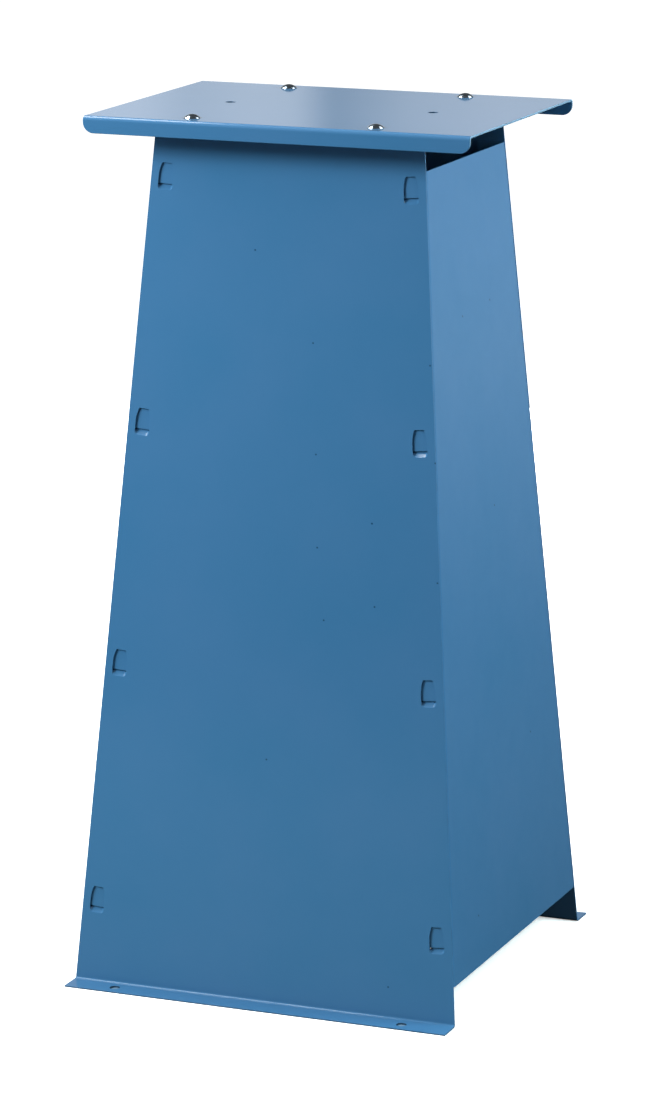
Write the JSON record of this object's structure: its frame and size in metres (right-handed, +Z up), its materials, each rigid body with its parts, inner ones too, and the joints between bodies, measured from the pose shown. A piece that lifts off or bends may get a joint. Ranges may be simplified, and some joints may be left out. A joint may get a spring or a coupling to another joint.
{
  "type": "bench grinder stand",
  "caption": "Tapered sheet-steel pedestal stand of hooked panels with foot flanges and a flat bolted top plate with bent lips, for a bench grinder.",
  "frame": {"origin": "on the floor, under the middle of the stand", "axes": "+Z up, -Y out of the front panel, +X to the right as seen from the front"},
  "size_m": [0.375, 0.39, 0.8036],
  "materials": {
    "blue_paint": "blue powder coat, semi-gloss with a fine texture",
    "bright_zinc": "bright zinc plating, polished on the bolt heads"
  },
  "bodies": {
    "root": {"top_plate": "blue_paint", "front_panel": "blue_paint", "rear_panel": "blue_paint", "left_side_panel": "blue_paint", "right_side_panel": "blue_paint", "top_bolt_front_left": "bright_zinc", "top_bolt_front_right": "bright_zinc", "top_bolt_rear_left": "bright_zinc", "top_bolt_rear_right": "bright_zinc", "flat_washer_front_left": "bright_zinc", "flat_washer_front_right": "bright_zinc", "flat_washer_rear_left": "bright_zinc", "flat_washer_rear_right": "bright_zinc", "spring_washer_front_left": "bright_zinc", "spring_washer_front_right": "bright_zinc", "spring_washer_rear_left": "bright_zinc", "spring_washer_rear_right": "bright_zinc", "top_nut_front_left": "bright_zinc", "top_nut_front_right": "bright_zinc", "top_nut_rear_left": "bright_zinc", "top_nut_rear_right": "bright_zinc"}
  },
  "joints": []
}
